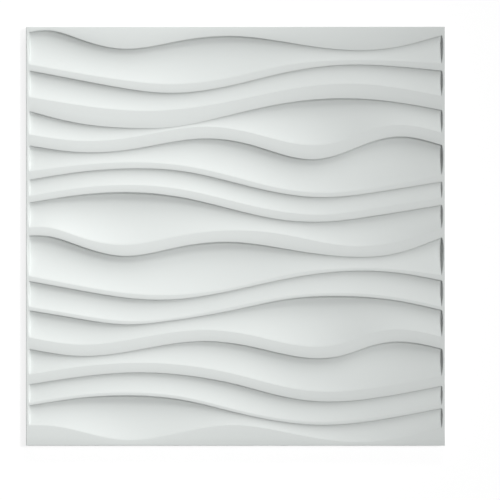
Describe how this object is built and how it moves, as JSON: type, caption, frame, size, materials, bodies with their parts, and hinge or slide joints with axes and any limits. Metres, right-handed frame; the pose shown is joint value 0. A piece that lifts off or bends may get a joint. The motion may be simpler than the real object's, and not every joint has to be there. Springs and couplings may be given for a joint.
{
  "type": "pvc cladding panel",
  "caption": "Square decorative PVC wall cladding panel, formed from one thin sheet with flat wavy bands, scoops between them and edges turned down to the wall.",
  "frame": {"origin": "centre of the panel's footprint, on the plane of the wall behind it", "axes": "+Z out of the wall, through the face; +X across the panel, along the waves; +Y up the wall"},
  "size_m": [0.5, 0.5, 0.015],
  "materials": {
    "white_pvc": "satin white, slightly cool"
  },
  "bodies": {
    "root": {"wave_panel": "white_pvc"}
  },
  "joints": []
}
